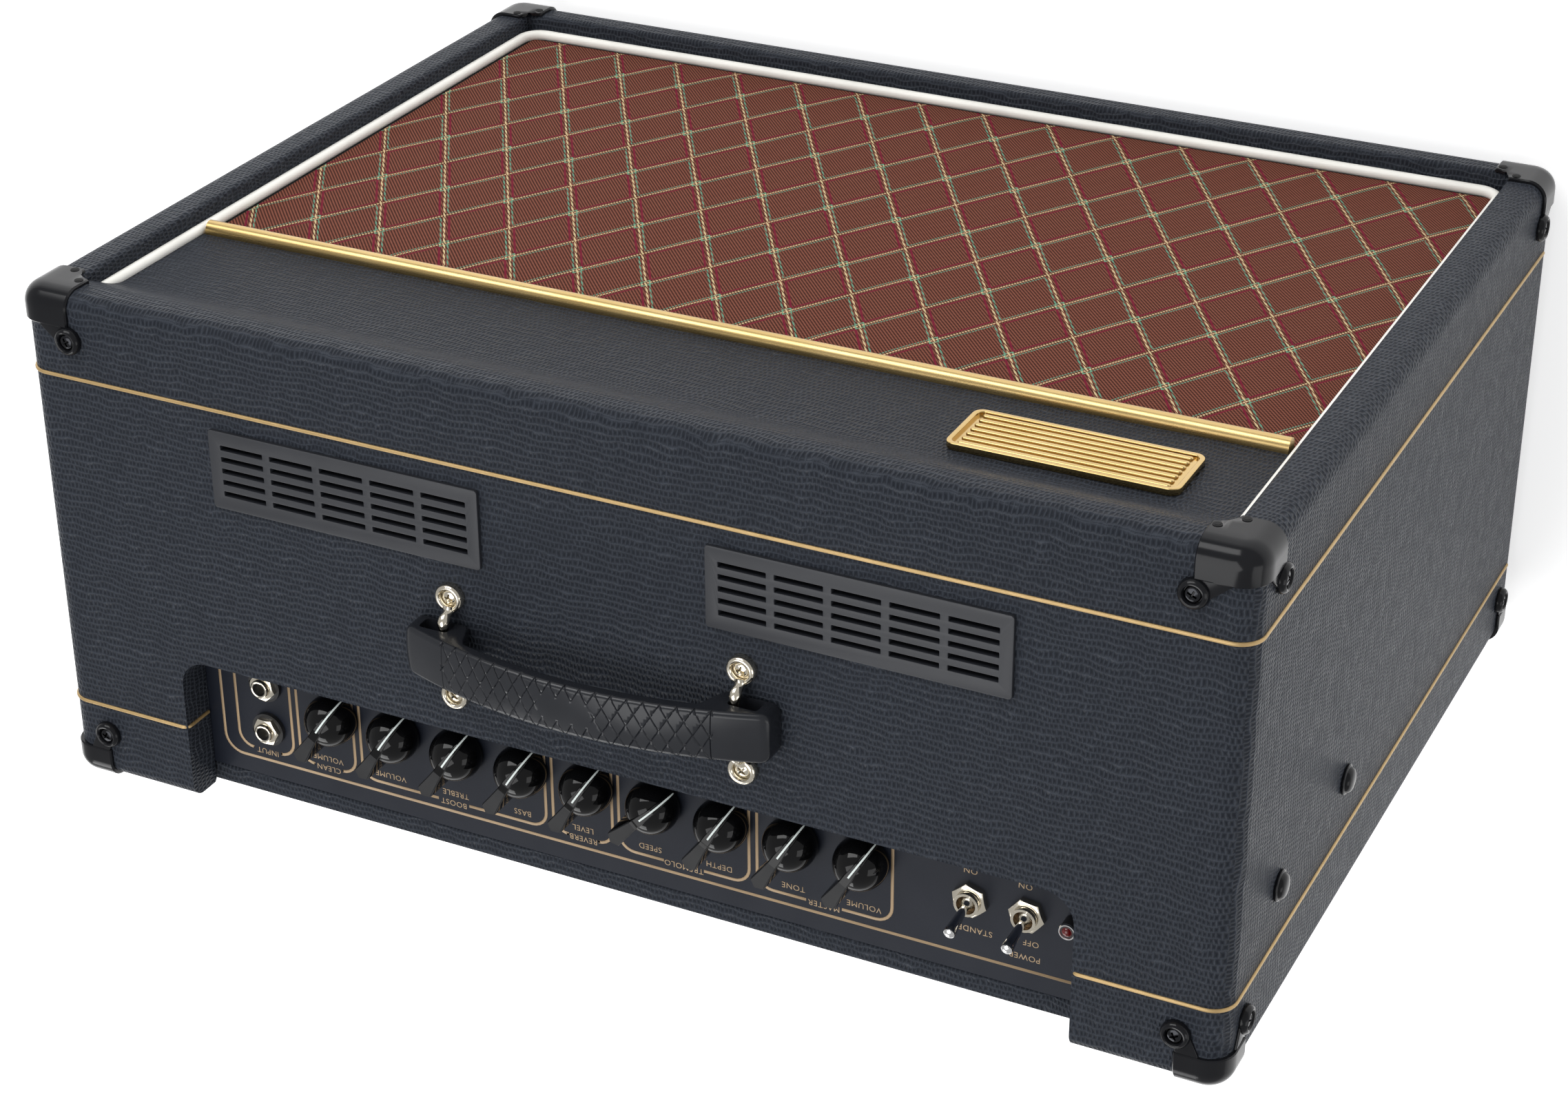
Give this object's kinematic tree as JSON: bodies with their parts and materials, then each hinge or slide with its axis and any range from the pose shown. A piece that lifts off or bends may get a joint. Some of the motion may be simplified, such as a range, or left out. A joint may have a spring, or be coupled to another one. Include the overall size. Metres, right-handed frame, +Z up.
{
  "type": "combo guitar amplifier",
  "caption": "Covered combo guitar amplifier with woven grille, gold trim, top control panel with chicken-head knobs, strap handle and corner protectors.",
  "frame": {"origin": "on the floor under the middle of the cabinet", "axes": "+X along the width towards the input-jack side, +Z up, the grille faces -Y"},
  "size_m": [0.6152, 0.2666, 0.498],
  "materials": {
    "vinyl_covering": "woven-texture black vinyl over plywood",
    "baffle_wood": "bare plywood",
    "grille_fabric": "woven red-brown cloth with cream and green lattice",
    "gold_trim": "satin gold",
    "white_piping": "off-white piping",
    "gold_bead": "gold plastic bead",
    "black_plastic": "moulded black",
    "knob_plastic": "glossy black with a white pointer line",
    "handle_rubber": "moulded black strap",
    "foot_rubber": "black rubber",
    "nickel": "bright nickel plate",
    "chrome_plate": "polished",
    "spindle_metal": "satin",
    "lens_red": "faceted red jewel",
    "panel_paint": "black panel with tan lines",
    "zinc_steel": "zinc plated sheet",
    "black_steel": "black enamel",
    "valve_glass": "clear glass",
    "ceramic": "glazed white",
    "board": "phenolic board with parts",
    "paper_cone": "pressed paper"
  },
  "bodies": {
    "cabinet": {"left_side_board": "vinyl_covering", "right_side_board": "vinyl_covering", "top_board": "vinyl_covering", "bottom_board": "vinyl_covering", "baffle_board": "baffle_wood", "front_valance": "vinyl_covering", "grille_cloth": "grille_fabric", "gold_bar": "gold_trim", "front_piping": "white_piping", "gold_piping": "gold_bead", "badge": "gold_trim", "top_vents": "black_plastic", "corner_protectors": "black_plastic", "wood_screws": "nickel", "handle_bails": "nickel", "chassis": "zinc_steel", "control_panel": "panel_paint", "jack_sockets": "black_plastic", "panel_nuts": "nickel", "toggle_bodies": "nickel", "pilot_lamp": "black_plastic", "lamp_lens": "lens_red", "potentiometers": "spindle_metal", "speaker_frame": "black_steel", "speaker_magnet": "black_steel", "speaker_bolts": "nickel", "transformers": "black_steel", "valves": "valve_glass", "valve_sockets": "ceramic", "circuit_board": "board", "reverb_tank": "zinc_steel", "upper_back_panel": "vinyl_covering", "lower_back_panel": "vinyl_covering", "back_battens": "baffle_wood", "mains_inlet": "black_plastic", "fuse_holder": "black_plastic", "feet": "foot_rubber", "chassis_bolts": "black_steel"},
    "handle": {"handle": "handle_rubber"},
    "standby_lever": {"standby_lever": "chrome_plate"},
    "power_lever": {"power_lever": "chrome_plate"},
    "speaker_cone": {"speaker_cone": "paper_cone"},
    "knob_1": {"knob_1": "knob_plastic", "spindle_1": "spindle_metal"},
    "knob_2": {"knob_2": "knob_plastic", "spindle_2": "spindle_metal"},
    "knob_3": {"knob_3": "knob_plastic", "spindle_3": "spindle_metal"},
    "knob_4": {"knob_4": "knob_plastic", "spindle_4": "spindle_metal"},
    "knob_5": {"knob_5": "knob_plastic", "spindle_5": "spindle_metal"},
    "knob_6": {"knob_6": "knob_plastic", "spindle_6": "spindle_metal"},
    "knob_7": {"knob_7": "knob_plastic", "spindle_7": "spindle_metal"},
    "knob_8": {"knob_8": "knob_plastic", "spindle_8": "spindle_metal"},
    "knob_9": {"knob_9": "knob_plastic", "spindle_9": "spindle_metal"}
  },
  "joints": [
    {"name": "handle_lift", "type": "slide", "parent": "cabinet", "child": "handle", "axis": [0, 0, 1], "range_m": [0, 0.003]},
    {"name": "standby_switch", "type": "hinge", "parent": "cabinet", "child": "standby_lever", "pos_m": [-0.1762, 0.0795, 0.453], "axis": [1, 0, 0], "range_deg": [0, 20]},
    {"name": "power_switch", "type": "hinge", "parent": "cabinet", "child": "power_lever", "pos_m": [-0.2034, 0.0795, 0.453], "axis": [1, 0, 0], "range_deg": [0, 20]},
    {"name": "cone_travel", "type": "slide", "parent": "cabinet", "child": "speaker_cone", "axis": [0, -1, 0], "range_m": [-0.003, 0.003], "stiffness_N_per_m": 2500},
    {"name": "knob_1_turn", "type": "hinge", "parent": "cabinet", "child": "knob_1", "pos_m": [0.1563, 0.073, 0.459], "axis": [0, 0, 1], "range_deg": [-119, 181]},
    {"name": "knob_2_turn", "type": "hinge", "parent": "cabinet", "child": "knob_2", "pos_m": [0.1212, 0.073, 0.459], "axis": [0, 0, 1], "range_deg": [-119, 181]},
    {"name": "knob_3_turn", "type": "hinge", "parent": "cabinet", "child": "knob_3", "pos_m": [0.0861, 0.073, 0.459], "axis": [0, 0, 1], "range_deg": [-119, 181]},
    {"name": "knob_4_turn", "type": "hinge", "parent": "cabinet", "child": "knob_4", "pos_m": [0.051, 0.073, 0.459], "axis": [0, 0, 1], "range_deg": [-119, 181]},
    {"name": "knob_5_turn", "type": "hinge", "parent": "cabinet", "child": "knob_5", "pos_m": [0.0159, 0.073, 0.459], "axis": [0, 0, 1], "range_deg": [-119, 181]},
    {"name": "knob_6_turn", "type": "hinge", "parent": "cabinet", "child": "knob_6", "pos_m": [-0.0192, 0.073, 0.459], "axis": [0, 0, 1], "range_deg": [-104, 196]},
    {"name": "knob_7_turn", "type": "hinge", "parent": "cabinet", "child": "knob_7", "pos_m": [-0.0543, 0.073, 0.459], "axis": [0, 0, 1], "range_deg": [-119, 181]},
    {"name": "knob_8_turn", "type": "hinge", "parent": "cabinet", "child": "knob_8", "pos_m": [-0.0894, 0.073, 0.459], "axis": [0, 0, 1], "range_deg": [-119, 181]},
    {"name": "knob_9_turn", "type": "hinge", "parent": "cabinet", "child": "knob_9", "pos_m": [-0.1245, 0.073, 0.459], "axis": [0, 0, 1], "range_deg": [-119, 181]}
  ]
}
